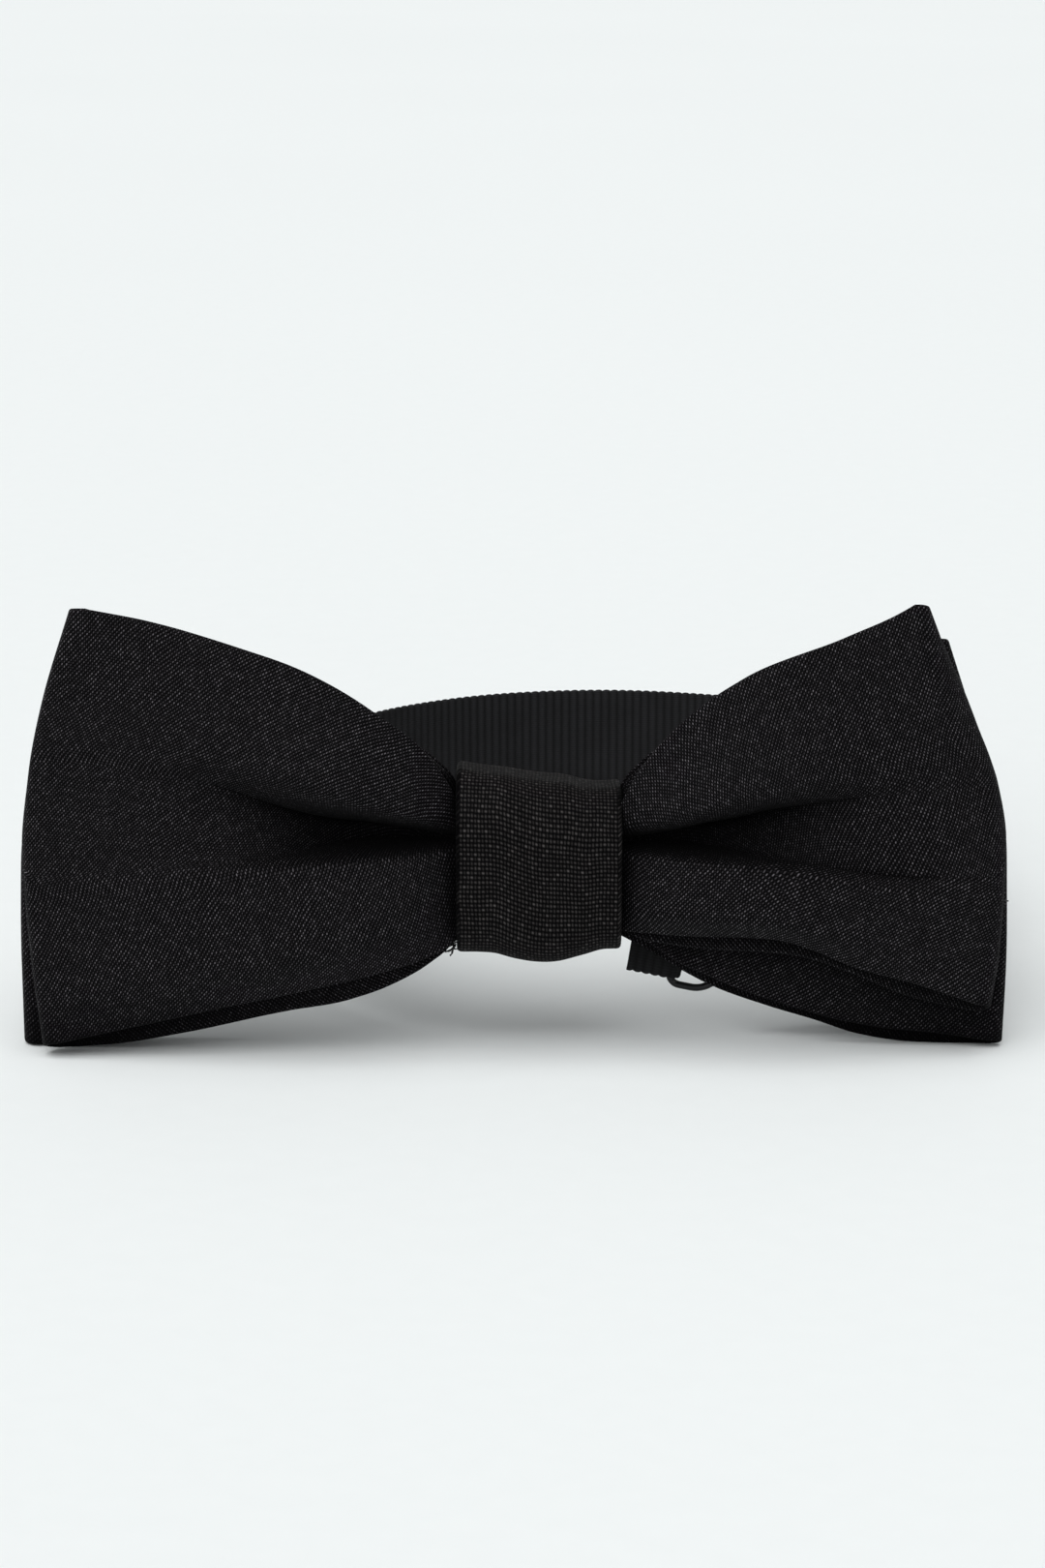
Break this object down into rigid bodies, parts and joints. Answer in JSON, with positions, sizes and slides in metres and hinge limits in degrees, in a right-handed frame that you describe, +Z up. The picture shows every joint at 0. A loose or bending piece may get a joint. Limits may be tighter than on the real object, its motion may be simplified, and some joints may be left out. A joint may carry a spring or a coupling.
{
  "type": "bow tie",
  "caption": "Pre-tied bow tie: two layered cloth bows under a wrapped knot, on an adjustable ribbon neck band with a slider and a hook and eye.",
  "frame": {"origin": "under the middle of the bounding box, on the surface that the bow tie stands on", "axes": "+Z up; the bow faces -Y and the neck band loops out behind it towards +Y; +X is to the right as the bow is seen from the front"},
  "size_m": [0.1198, 0.1142, 0.0565],
  "materials": {
    "bow_cloth": "matte black plain weave, slightly speckled",
    "knot_cloth": "the same matte black weave, set square to the knot",
    "interlining": "dull black non-woven stiffener",
    "grosgrain": "black cross-ribbed ribbon with a low sheen",
    "thread": "black twisted sewing thread",
    "black_metal": "smooth black coating with a soft gloss"
  },
  "bodies": {
    "bow": {"front_bow": "bow_cloth", "front_bow_interlining": "interlining", "front_bow_seam": "thread", "rear_bow": "bow_cloth", "rear_bow_interlining": "interlining", "rear_bow_seam": "thread", "waist_thread": "thread", "knot_wrap": "knot_cloth", "knot_interlining": "interlining", "knot_back_stitch": "thread", "front_band": "grosgrain", "tab_stitch": "thread"},
    "clasp_eye": {"clasp_eye": "black_metal"},
    "neck_band": {"neck_band": "grosgrain", "return_ply": "grosgrain"},
    "clasp_hook": {"clasp_hook": "black_metal"},
    "slider": {"adjuster_slider": "black_metal", "slider_stitch": "thread"}
  },
  "joints": [
    {"name": "band_flex", "type": "hinge", "parent": "bow", "child": "neck_band", "pos_m": [-0.0152, -0.03931, 0.0234], "axis": [0, 0, 1], "range_deg": [0, 30]},
    {"name": "eye_swing", "type": "hinge", "parent": "bow", "child": "clasp_eye", "pos_m": [0.02119, -0.0436, 0.0172], "axis": [0.2079, 0, 0.9781], "range_deg": [-8, 0]},
    {"name": "hook_swing", "type": "hinge", "parent": "neck_band", "child": "clasp_hook", "pos_m": [0.03639, -0.04235, 0.0156], "axis": [0.2079, 0, 0.9781], "range_deg": [-25, 0]},
    {"name": "slider_travel", "type": "slide", "parent": "neck_band", "child": "slider", "axis": [0, 1, 0], "range_m": [-0.013, 0.013], "deforming": ["return_ply"]}
  ]
}
